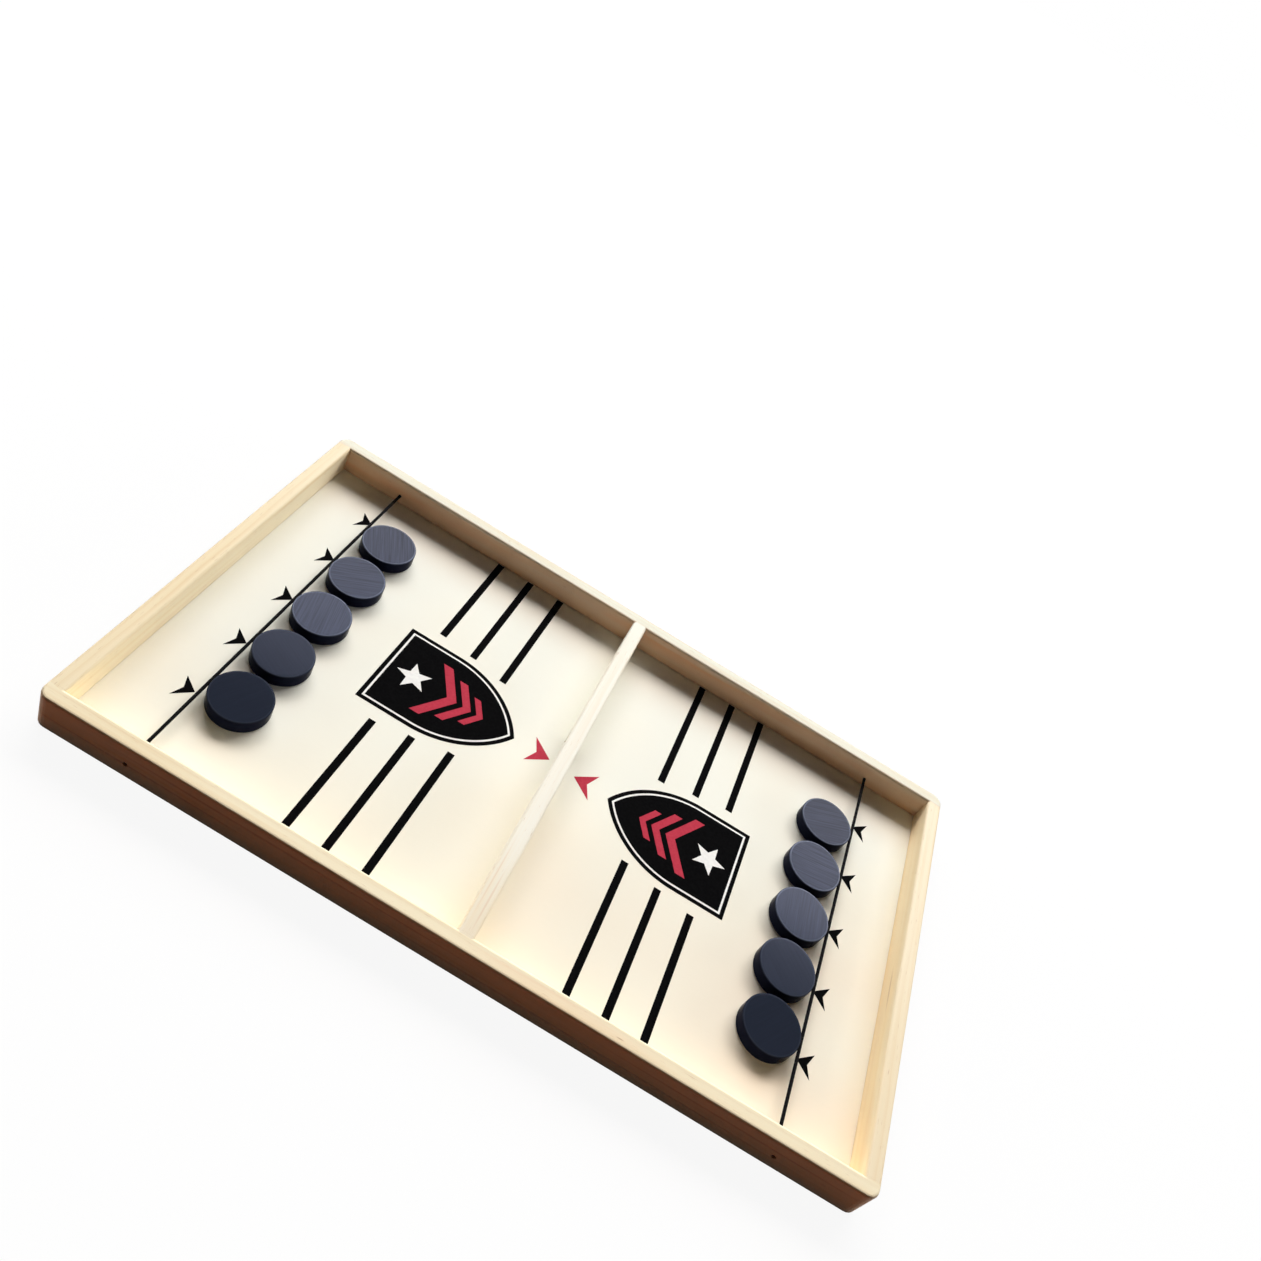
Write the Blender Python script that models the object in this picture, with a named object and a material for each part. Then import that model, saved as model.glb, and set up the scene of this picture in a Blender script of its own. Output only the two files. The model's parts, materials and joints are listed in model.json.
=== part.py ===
"""Tabletop sling puck game: a shallow pine tray, a divider with a gate, two elastic slings and ten pucks.

Metres, +Z up, +X along the tray. The origin is the middle of the tray's footprint, on the table.
"""
import math

import bmesh
import bpy

MM = 0.001

# The tray's frame: two long rails run its full length, and the end rails stand between them
TRAY_LENGTH = 360 * MM
TRAY_WIDTH = 220 * MM
RAIL_HEIGHT = 17 * MM
RAIL_THICKNESS = 7.2 * MM
OUTER_CORNER_RADIUS = 5 * MM
EDGE_RADIUS = 1.1 * MM
CORNER_SEGMENTS = 6
EDGE_SEGMENTS = 3

# The floor panel lies in a rebate cut up into the rails from below
PANEL_THICKNESS = 2.5 * MM
PANEL_LIFT = 0.5 * MM
PANEL_SEAT = 3.3 * MM

# Clearance between neighbouring pieces, and how far a cutter runs past what it cuts
TOUCH_GAP = 0.3 * MM
OVERRUN = 2 * MM

# Pucks: turned wooden discs, five in a row along each sling
PUCK_DIAMETER = 27 * MM
PUCK_THICKNESS = 6.4 * MM
PUCK_EDGE_RADIUS = 0.9 * MM
PUCKS_PER_SIDE = 5
PUCK_SEGMENTS = 36
LEFT_ROW_GAP = 3.8 * MM
LEFT_ROW_SHIFT = 3.1 * MM
RIGHT_ROW_GAP = 2.8 * MM
RIGHT_ROW_SHIFT = -1.5 * MM

# The divider and its gate, a puck's size with room to pass
DIVIDER_THICKNESS = 7.2 * MM
GATE_SIDE_ROOM = 5.5 * MM
GATE_HEADROOM = 3.6 * MM
GATE_CORNER_RADIUS = 2 * MM

# Elastic slings: one straight cord across the tray at each end, held in a hole through each long rail
CORD_DIAMETER = 1.5 * MM
CORD_ABOVE_PUCK_MIDDLE = 0.6 * MM
CORD_SETBACK = 32.45 * MM
CORD_HOLE_PLAY = 0.3 * MM
CORD_END_RECESS = 0.6 * MM
CORD_SIDES_RESOLUTION = 2
CORD_STEP = 5 * MM
HOLE_SEGMENTS = 20

# Panel pins, driven up through the panel's edge into the rails
PIN_SHANK_DIAMETER = 1.2 * MM
PIN_LENGTH = 8.5 * MM
PIN_HEAD_DIAMETER = 2 * MM
PIN_HEAD_THICKNESS = 0.5 * MM
PIN_SEGMENTS = 10
LONG_SIDE_PIN_SHARES = (-0.44, -0.15, 0.15, 0.44)
END_SIDE_PIN_SHARES = (-0.28, 0.28)

# Levels and places worked out from the sizes above
floor_top = PANEL_LIFT + PANEL_THICKNESS
shoulder = floor_top + TOUCH_GAP
inner_half_length = TRAY_LENGTH / 2 - RAIL_THICKNESS
inner_half_width = TRAY_WIDTH / 2 - RAIL_THICKNESS
panel_half_length = inner_half_length + PANEL_SEAT
panel_half_width = inner_half_width + PANEL_SEAT
cord_x = inner_half_length - CORD_SETBACK
puck_x = cord_x - CORD_DIAMETER / 2 - TOUCH_GAP - PUCK_DIAMETER / 2
puck_z = floor_top + TOUCH_GAP + PUCK_THICKNESS / 2
cord_z = puck_z + CORD_ABOVE_PUCK_MIDDLE
gate_half_width = PUCK_DIAMETER / 2 + GATE_SIDE_ROOM
gate_top = floor_top + PUCK_THICKNESS + GATE_HEADROOM


def material(name, colour, roughness, metallic=0.0):
    made = bpy.data.materials.new(name)
    made.use_nodes = True
    shader = made.node_tree.nodes["Principled BSDF"]
    shader.inputs["Base Color"].default_value = (*colour, 1.0)
    shader.inputs["Roughness"].default_value = roughness
    shader.inputs["Metallic"].default_value = metallic
    made.diffuse_color = (*colour, 1.0)
    return made


def pine(name):
    return material(name + "_pine", (0.86, 0.69, 0.45), 0.5)


def add_object(name, data, finish=None, location=(0.0, 0.0, 0.0)):
    made = bpy.data.objects.new(name, data)
    made.location = location
    bpy.context.collection.objects.link(made)
    if finish:
        data.materials.append(finish)
    return made


def to_mesh(name, bm):
    bmesh.ops.recalc_face_normals(bm, faces=bm.faces)
    mesh = bpy.data.meshes.new(name)
    bm.to_mesh(mesh)
    bm.free()
    return mesh


def arc(centre, radius, start, end, segments):
    """Points on an arc in a plane, from one angle in degrees to another, both ends included."""
    points = []
    for step in range(segments + 1):
        angle = math.radians(start + (end - start) * step / segments)
        points.append((centre[0] + radius * math.cos(angle), centre[1] + radius * math.sin(angle)))
    return points


def prism(outline, low, high):
    """A closed bmesh: an outline in XY, from one height to another."""
    bm = bmesh.new()
    base = bm.faces.new([bm.verts.new((x, y, low)) for x, y in outline])
    raised = bmesh.ops.extrude_face_region(bm, geom=[base])["geom"]
    upper = [item for item in raised if isinstance(item, bmesh.types.BMVert)]
    bmesh.ops.translate(bm, vec=(0.0, 0.0, high - low), verts=upper)
    bmesh.ops.recalc_face_normals(bm, faces=bm.faces)
    return bm


def round_edges(bm, wanted, radius, segments):
    edges = [edge for edge in bm.edges if wanted(*[vert.co for vert in edge.verts])]
    bmesh.ops.bevel(
        bm, geom=edges, offset=radius, offset_type="OFFSET", segments=segments,
        profile=0.5, affect="EDGES", clamp_overlap=True,
    )


def level_at(height):
    """A test for edges that lie flat at one height."""
    slack = TOUCH_GAP / 10
    return lambda a, b: abs(a.z - height) < slack and abs(b.z - height) < slack


def round_long_top_edges(bm):
    """Rounds the two top edges of a bar that lies across the tray."""
    at_top = level_at(RAIL_HEIGHT)
    round_edges(bm, lambda a, b: at_top(a, b) and abs(a.x - b.x) < TOUCH_GAP, EDGE_RADIUS, EDGE_SEGMENTS)


def cut(target, cutter):
    """Takes the cutter's shape out of the target, and leaves the cutter as a hidden guide."""
    modifier = target.modifiers.new("cut_" + cutter.name, "BOOLEAN")
    modifier.operation = "DIFFERENCE"
    modifier.solver = "EXACT"
    modifier.object = cutter
    cutter.hide_render = True
    cutter.display_type = "WIRE"


def box_cutter(name, low, high):
    corners = [(low[0], low[1]), (high[0], low[1]), (high[0], high[1]), (low[0], high[1])]
    return add_object(name, to_mesh(name, prism(corners, low[2], high[2])))


def pin_places():
    """Where the panel pins stand: along the middle of the panel's seat, on all four sides."""
    seat_middle_x = inner_half_length + PANEL_SEAT / 2
    seat_middle_y = inner_half_width + PANEL_SEAT / 2
    places = []
    for side in (-1, 1):
        for share in LONG_SIDE_PIN_SHARES:
            places.append((share * TRAY_LENGTH, side * seat_middle_y))
        for share in END_SIDE_PIN_SHARES:
            places.append((side * seat_middle_x, share * TRAY_WIDTH))
    return places


def stepped_cylinders(places, steps, segments):
    """Closed turned shapes that stand at each place; each step is a height and the radius up to it."""
    bm = bmesh.new()
    for x, y in places:
        rings = []
        for height, radius in steps:
            turn = arc((x, y), radius, 0, 360 * (segments - 1) / segments, segments - 1)
            rings.append([bm.verts.new((px, py, height)) for px, py in turn])
        bm.faces.new(list(reversed(rings[0])))
        bm.faces.new(rings[-1])
        for lower, upper in zip(rings, rings[1:]):
            for i in range(segments):
                j = (i + 1) % segments
                bm.faces.new((lower[i], lower[j], upper[j], upper[i]))
    return bm


def pin_steps(play):
    """The pin's rings from its head up, each radius and each free end larger by the play."""
    head = PIN_HEAD_DIAMETER / 2 + play
    shank = PIN_SHANK_DIAMETER / 2 + play
    foot = PANEL_LIFT - (OVERRUN if play else 0.0)
    neck = PANEL_LIFT + PIN_HEAD_THICKNESS + play
    tip = PANEL_LIFT + PIN_LENGTH + play
    return [(foot, head), (neck, head), (neck, shank), (tip, shank)]


def panel_rebate():
    """The room that the panel takes up in the rails, with its clearance."""
    x = panel_half_length + TOUCH_GAP
    y = panel_half_width + TOUCH_GAP
    return box_cutter("panel_rebate", (-x, -y, -OVERRUN), (x, y, shoulder))


def pin_holes():
    bm = stepped_cylinders(pin_places(), pin_steps(TOUCH_GAP), PIN_SEGMENTS)
    return add_object("pin_holes", to_mesh("pin_holes", bm))


def cord_holes():
    """Two long drills across the tray, one for each sling."""
    bm = bmesh.new()
    radius = CORD_DIAMETER / 2 + CORD_HOLE_PLAY
    reach = TRAY_WIDTH / 2 + OVERRUN
    for side in (-1, 1):
        turn = arc((side * cord_x, cord_z), radius, 0, 360 * (HOLE_SEGMENTS - 1) / HOLE_SEGMENTS,
                   HOLE_SEGMENTS - 1)
        near = [bm.verts.new((x, -reach, z)) for x, z in turn]
        far = [bm.verts.new((x, reach, z)) for x, z in turn]
        bm.faces.new(near)
        bm.faces.new(list(reversed(far)))
        for i in range(HOLE_SEGMENTS):
            j = (i + 1) % HOLE_SEGMENTS
            bm.faces.new((near[j], near[i], far[i], far[j]))
    return add_object("cord_holes", to_mesh("cord_holes", bm))


def long_rail(name, side, cutters):
    """One long rail, on the near side (-1) or the far side (1), with its two outer corners rounded."""
    outer = TRAY_WIDTH / 2
    centre_x = TRAY_LENGTH / 2 - OUTER_CORNER_RADIUS
    centre_y = outer - OUTER_CORNER_RADIUS
    outline = [(-TRAY_LENGTH / 2, inner_half_width), (-inner_half_length, inner_half_width)]
    outline += [(inner_half_length, inner_half_width), (TRAY_LENGTH / 2, inner_half_width)]
    outline += arc((centre_x, centre_y), OUTER_CORNER_RADIUS, 0, 90, CORNER_SEGMENTS)
    outline += arc((-centre_x, centre_y), OUTER_CORNER_RADIUS, 90, 180, CORNER_SEGMENTS)
    bm = prism([(x, side * y) for x, y in outline], 0.0, RAIL_HEIGHT)
    at_top = level_at(RAIL_HEIGHT)
    slack = TOUCH_GAP / 10

    def exposed(a, b):
        """Every top edge, less the two stretches that an end rail butts against."""
        inside = max(abs(a.y), abs(b.y)) < inner_half_width + slack
        butted = inside and max(abs(a.x), abs(b.x)) > inner_half_length + slack
        return at_top(a, b) and not butted

    round_edges(bm, exposed, EDGE_RADIUS, EDGE_SEGMENTS)
    rail = add_object(name, to_mesh(name, bm), pine(name))
    for cutter in cutters:
        cut(rail, cutter)
    return rail


def end_rail(name, side, cutters):
    """One end rail, on the left (-1) or the right (1), butted between the long rails."""
    reach = inner_half_width - TOUCH_GAP
    xs = (side * inner_half_length, side * TRAY_LENGTH / 2)
    outline = [(xs[0], -reach), (xs[1], -reach), (xs[1], reach), (xs[0], reach)]
    bm = prism(outline, 0.0, RAIL_HEIGHT)
    round_long_top_edges(bm)
    rail = add_object(name, to_mesh(name, bm), pine(name))
    for cutter in cutters:
        cut(rail, cutter)
    return rail


def floor_panel(pin_drill):
    x = panel_half_length
    y = panel_half_width
    outline = [(-x, -y), (x, -y), (x, y), (-x, y)]
    bm = prism(outline, PANEL_LIFT, floor_top)
    finish = material("printed_panel", (0.96, 0.89, 0.76), 0.45)
    panel = add_object("floor_panel", to_mesh("floor_panel", bm), finish)
    cut(panel, pin_drill)
    return panel


def divider():
    """The bar across the middle, flush with the rails, with the gate cut up into its foot."""
    x = DIVIDER_THICKNESS / 2
    reach = inner_half_width - TOUCH_GAP
    bm = prism([(-x, -reach), (x, -reach), (x, reach), (-x, reach)], shoulder, RAIL_HEIGHT)
    round_long_top_edges(bm)
    bar = add_object("divider", to_mesh("divider", bm), pine("divider"))

    # The gate's outline in YZ: open at the foot, its two upper corners rounded
    low = floor_top - OVERRUN
    corner_z = gate_top - GATE_CORNER_RADIUS
    corner_y = gate_half_width - GATE_CORNER_RADIUS
    outline = [(-gate_half_width, low), (gate_half_width, low)]
    outline += arc((corner_y, corner_z), GATE_CORNER_RADIUS, 0, 90, CORNER_SEGMENTS)
    outline += arc((-corner_y, corner_z), GATE_CORNER_RADIUS, 90, 180, CORNER_SEGMENTS)
    gate_shape = prism(outline, -x - OVERRUN, x + OVERRUN)
    for vert in gate_shape.verts:
        y, z, along = vert.co
        vert.co = (along, y, z)
    gate = add_object("gate_cutter", to_mesh("gate_cutter", gate_shape))
    cut(bar, gate)
    return bar


def sling_cord(name, side):
    """One elastic cord, straight from its end in the near rail to its end in the far rail."""
    reach = TRAY_WIDTH / 2 - CORD_END_RECESS
    steps = math.ceil(2 * reach / CORD_STEP)
    curve = bpy.data.curves.new(name, "CURVE")
    curve.dimensions = "3D"
    curve.bevel_depth = CORD_DIAMETER / 2
    curve.bevel_resolution = CORD_SIDES_RESOLUTION
    curve.use_fill_caps = True
    spline = curve.splines.new("POLY")
    spline.points.add(steps)
    for i, point in enumerate(spline.points):
        point.co = (0.0, -reach + 2 * reach * i / steps, 0.0, 1.0)
    finish = material(name + "_elastic", (0.012, 0.012, 0.013), 0.65)
    return add_object(name, curve, finish, (side * cord_x, 0.0, cord_z))


def puck_mesh():
    """A turned disc with both rims rounded, its origin at its middle."""
    bm = bmesh.new()
    bmesh.ops.create_cone(
        bm, cap_ends=True, segments=PUCK_SEGMENTS, radius1=PUCK_DIAMETER / 2,
        radius2=PUCK_DIAMETER / 2, depth=PUCK_THICKNESS,
    )
    rim = PUCK_THICKNESS / 2
    at_top = level_at(rim)
    at_foot = level_at(-rim)
    round_edges(bm, lambda a, b: at_top(a, b) or at_foot(a, b), PUCK_EDGE_RADIUS, EDGE_SEGMENTS - 1)
    return to_mesh("puck", bm)


def pucks(label, side, gap, shift):
    """One side's row of pucks, numbered from the far rail, each resting against its sling."""
    disc = puck_mesh()
    disc.materials.append(material("pucks_" + label + "_lacquer", (0.035, 0.038, 0.055), 0.4))
    disc.shade_smooth()
    disc.set_sharp_from_angle(angle=math.radians(50))
    pitch = PUCK_DIAMETER + gap
    middle = (PUCKS_PER_SIDE - 1) / 2
    for i in range(PUCKS_PER_SIDE):
        y = shift + (middle - i) * pitch
        add_object(f"puck_{label}_{i + 1}", disc, None, (side * puck_x, y, puck_z))


def panel_pins():
    pin = to_mesh("panel_pin", stepped_cylinders([(0.0, 0.0)], pin_steps(0.0), PIN_SEGMENTS))
    pin.materials.append(material("pin_steel", (0.55, 0.55, 0.56), 0.35, 1.0))
    for number, (x, y) in enumerate(pin_places(), start=1):
        add_object(f"panel_pin_{number:02d}", pin, None, (x, y, 0.0))


def build():
    for old in list(bpy.data.objects):
        bpy.data.objects.remove(old, do_unlink=True)
    rebate = panel_rebate()
    pin_drill = pin_holes()
    cord_drill = cord_holes()
    long_rail("rail_near", -1, (rebate, pin_drill, cord_drill))
    long_rail("rail_far", 1, (rebate, pin_drill, cord_drill))
    end_rail("end_rail_left", -1, (rebate, pin_drill))
    end_rail("end_rail_right", 1, (rebate, pin_drill))
    floor_panel(pin_drill)
    divider()
    panel_pins()
    sling_cord("sling_cord_left", -1)
    sling_cord("sling_cord_right", 1)
    pucks("left", -1, LEFT_ROW_GAP, LEFT_ROW_SHIFT)
    pucks("right", 1, RIGHT_ROW_GAP, RIGHT_ROW_SHIFT)


build()
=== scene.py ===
import json
import math

import bmesh
import bpy
from mathutils import Matrix, Vector

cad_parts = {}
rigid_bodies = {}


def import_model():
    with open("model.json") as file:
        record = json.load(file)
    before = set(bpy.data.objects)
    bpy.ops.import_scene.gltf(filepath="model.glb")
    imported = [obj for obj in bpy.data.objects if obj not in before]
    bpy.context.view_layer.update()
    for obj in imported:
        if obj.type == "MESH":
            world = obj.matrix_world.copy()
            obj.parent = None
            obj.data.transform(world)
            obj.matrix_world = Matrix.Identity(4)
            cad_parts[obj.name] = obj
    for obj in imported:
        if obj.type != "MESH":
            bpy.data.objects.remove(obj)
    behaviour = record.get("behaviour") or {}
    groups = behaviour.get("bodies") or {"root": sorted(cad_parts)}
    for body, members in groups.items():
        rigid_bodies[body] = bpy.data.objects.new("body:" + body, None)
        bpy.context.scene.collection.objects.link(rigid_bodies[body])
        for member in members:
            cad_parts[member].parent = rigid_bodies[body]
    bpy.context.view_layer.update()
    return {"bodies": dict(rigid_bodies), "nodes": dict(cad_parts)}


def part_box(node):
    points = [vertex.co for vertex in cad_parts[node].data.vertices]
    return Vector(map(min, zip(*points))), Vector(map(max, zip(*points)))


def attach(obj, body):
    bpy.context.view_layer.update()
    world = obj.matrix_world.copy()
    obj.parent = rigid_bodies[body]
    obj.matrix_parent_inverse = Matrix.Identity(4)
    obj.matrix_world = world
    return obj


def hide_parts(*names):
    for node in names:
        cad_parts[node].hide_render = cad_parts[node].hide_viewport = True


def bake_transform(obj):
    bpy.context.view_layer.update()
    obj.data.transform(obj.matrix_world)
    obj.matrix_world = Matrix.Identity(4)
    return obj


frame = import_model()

mm = 0.001
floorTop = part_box("floor_panel")[1].z
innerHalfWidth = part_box("rail_far")[0].y           # from the tray's middle to a long rail's inner face


# Camera, where the photograph was taken from
cameraSetup = {
    "place": (-15.883, -338.866, 379.879),   # mm
    "lookDown": 39.846,                      # degrees under the horizon
    "lookRight": 0.558,                      # degrees from +Y towards +X
    "roll": 31.688,                          # degrees
    "lens": 31.98,                           # mm
    "sensor": 36.0,                          # mm
    "shift": (0.01115, -0.00746),            # shares of the frame
    "sees": (0.01, 50.0),                    # m
}


def setCamera(setup):
    data = bpy.data.cameras.new("photoCamera")
    data.sensor_width = setup["sensor"]
    data.lens = setup["lens"]
    data.shift_x, data.shift_y = setup["shift"]
    data.clip_start, data.clip_end = setup["sees"]
    eye = bpy.data.objects.new("photoCamera", data)
    bpy.context.scene.collection.objects.link(eye)
    eye.location = Vector(setup["place"]) * mm
    aside = Matrix.Rotation(math.radians(-setup["lookRight"]), 3, "Z")
    down = Matrix.Rotation(math.radians(90.0 - setup["lookDown"]), 3, "X")
    roll = Matrix.Rotation(math.radians(setup["roll"]), 3, "Z")
    eye.rotation_euler = (aside @ down @ roll).to_euler()
    bpy.context.scene.camera = eye


setCamera(cameraSetup)
print("camera set")


# Helpers for finishes: sRGB hex to linear colour, one node with its settings and links, one material
def paint(code):
    channels = [int(code[i:i + 2], 16) / 255 for i in (1, 3, 5)]
    linear = [c / 12.92 if c <= 0.04045 else ((c + 0.055) / 1.055) ** 2.4 for c in channels]
    return (*linear, 1.0)


def addNode(tree, kind, settings=None, links=None):
    node = tree.nodes.new(kind)
    for key, value in (settings or {}).items():
        if key == "stops":
            stops = node.color_ramp.elements
            while len(stops) < len(value):
                stops.new(0.5)
            for stop, (position, colour) in zip(stops, value):
                stop.position = position
                stop.color = paint(colour) if isinstance(colour, str) else (colour, colour, colour, 1.0)
        elif isinstance(key, str) and hasattr(node, key):
            setattr(node, key, value)
        else:
            node.inputs[key].default_value = value
    for key, source in (links or {}).items():
        socket = source if isinstance(source, bpy.types.NodeSocket) else source.outputs[0]
        tree.links.new(socket, node.inputs[key])
    return node


def newMaterial(name, settings):
    made = bpy.data.materials.new(name)
    made.use_nodes = True
    shader = made.node_tree.nodes["Principled BSDF"]
    for key, value in settings.items():
        shader.inputs[key].default_value = value
    return made, made.node_tree, shader


colourMix = {"data_type": "RGBA"}
first, second, mixed = 6, 7, 2       # a colour Mix node's two inputs, and its output

# Planed pine: pale early wood, soft tan figure and thin late wood lines along the board, under a thin satin
# clear coat. It gives the eye warm streaks that run the length of each rail.
pineFinish = {
    "figure": "#eccf9c",
    "lateWoodAndShade": "#dcb078",
    "heartwoodAndShade": "#f8be92",
    "gold": "#fbd798",
    "streak": "#cf9558",
    "markAndShade": "#a8743c",
    "fleck": "#bd8a55",          # short resin flecks
    "shader": {"Roughness": 0.46, "Coat Weight": 0.05, "Coat Roughness": 0.3},
    "fibre": 0.35,               # mm across one fibre streak; finer ones wouldn't show
    "fibreLength": 40.0,         # mm
    "figureWidth": 3.2,          # mm across one soft tan streak
    "figureLength": 110.0,       # mm
    "ring": 3.5,                 # mm
    "wander": 5.0,               # mm by which a ring strays at most
    "wanderPerMm": (0.012, 0.09),    # its waves along the grain, and across it
    "flecksPerMm": (0.22, 3.4),  # along the grain, and across it
    "lateRelief": 0.6,           # how high the late wood stands beside the fibres
    "relief": (0.12, 0.1),       # strength, and height in mm
}

# Each board's own growth: its early wood, its turn from X (degrees), the pith's place beside it (mm), how its
# grain runs out (degrees), how strongly its lines and its figure show, how much its planed face shines, and
# its heartwood patches, streaks and marks, some of them painted shade (middle and half size in mm, strength,
# colour)
boards = {
    "rail_near": {"early": "#fef1d1", "turn": 0.0, "pith": (-31.0, -24.0), "tilt": (0.35, -0.2),
                  "lines": 0.1, "figure": 0.3, "gloss": 0.06,
                  "streaks": [((0.0, -110.0, 7.0), (600.0, 2.5, 11.5), 0.6, "gold"),
                              ((-70.0, -110.0, 12.0), (95.0, 1.5, 0.9), 0.5, "markAndShade"),
                              ((55.0, -110.0, 5.5), (120.0, 1.5, 1.0), 0.5, "markAndShade"),
                              ((-135.0, -110.0, 7.0), (60.0, 1.5, 0.8), 0.45, "markAndShade"),
                              ((120.0, -110.0, 11.0), (70.0, 1.5, 0.8), 0.45, "markAndShade"),
                              ((-150.0, -106.0, 17.0), (48.0, 5.0, 3.0), 0.3, "figure"),
                              ((45.0, -107.0, 17.0), (60.0, 3.5, 3.0), 0.25, "heartwoodAndShade"),
                              ((68.0, -107.3, 17.0), (2.2, 0.35, 1.0), 0.7, "markAndShade")]},
    # painted sheen: the far rail's early wood is drawn whiter than the other boards', which shows on its top
    "rail_far": {"early": "#f4f3e2", "turn": 0.0, "pith": (-38.0, -14.0), "tilt": (-0.6, 1.2),
                 "lines": 0.12, "figure": 0.25, "gloss": 0.03,
                 # painted shade: the far rail's inner face, which turns away from the lamp, drawn darker and
                 # tan all over
                 "streaks": [((0.0, 102.8, 5.0), (600.0, 2.2, 20.0), 0.85, "heartwoodAndShade"),
                             # painted shade: darker still along the foot of the far rail's inner face
                             ((0.0, 102.8, 2.0), (600.0, 2.0, 8.0), 0.4, "streak"),
                             ((110.0, 102.8, 6.0), (38.0, 3.0, 4.5), 0.3, "streak"),
                             # painted shade: the far rail's outer face and both its ends, which face the
                             # lamp, drawn darker in the late wood's colour
                             ((0.0, 110.0, 8.0), (600.0, 1.5, 24.0), 0.75, "lateWoodAndShade"),
                             ((-178.0, 108.0, 5.0), (8.0, 8.0, 13.0), 0.7, "lateWoodAndShade"),
                             ((178.0, 108.0, 5.0), (8.0, 8.0, 13.0), 0.7, "lateWoodAndShade"),
                             ((-60.0, 110.0, 11.0), (110.0, 1.5, 1.2), 0.35, "markAndShade"),
                             ((75.0, 110.0, 5.0), (95.0, 1.5, 1.0), 0.35, "markAndShade")]},
    "end_rail_left": {"early": "#fbeccb", "turn": 90.0, "pith": (26.0, -19.0), "tilt": (0.3, 0.5),
                      "lines": 0.1, "figure": 0.35, "gloss": 0.12,
                      "streaks": [((-176.4, -20.0, 17.5), (6.0, 155.0, 3.5), 0.4, "figure"),
                                  ((-172.8, -30.0, 6.0), (3.0, 90.0, 2.2), 0.18, "streak")]},
    "end_rail_right": {"early": "#fbecce", "turn": 90.0, "pith": (-24.0, -26.0), "tilt": (0.2, 0.4),
                       "lines": 0.1, "figure": 0.35, "gloss": 0.2,
                       "streaks": [((176.4, -75.0, 17.5), (6.0, 90.0, 3.5), 0.3, "figure"),
                                   ((172.8, 0.0, 6.0), (3.5, 400.0, 14.0), 0.5, "gold"),
                                   ((172.8, -35.0, 5.5), (3.0, 75.0, 5.0), 0.3, "lateWoodAndShade"),
                                   ((172.8, -85.0, 12.0), (3.0, 30.0, 4.0), 0.32, "lateWoodAndShade"),
                                   ((172.8, -14.0, 10.3), (1.5, 16.0, 0.9), 0.45, "markAndShade"),
                                   ((172.8, -82.0, 4.0), (1.0, 14.0, 0.45), 0.3, "markAndShade")]},
    "divider": {"early": "#f5f2e5", "turn": 90.0, "pith": (14.0, -30.0), "tilt": (0.2, 0.3),
                "lines": 0.08, "figure": 0.15, "gloss": 0.3,
                "streaks": [((0.0, -115.0, 14.0), (30.0, 75.0, 16.0), 0.5, "figure"),
                            ((1.0, -85.0, 17.0), (0.6, 20.0, 1.0), 0.35, "streak"),
                            ((-1.5, -74.0, 17.0), (0.5, 24.0, 1.0), 0.25, "streak"),
                            # painted shadow: a small dark spot at the foot of the gate's far jamb
                            ((-3.6, 19.0, 3.0), (0.8, 0.8, 1.2), 0.7, "markAndShade")]},
}


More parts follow.
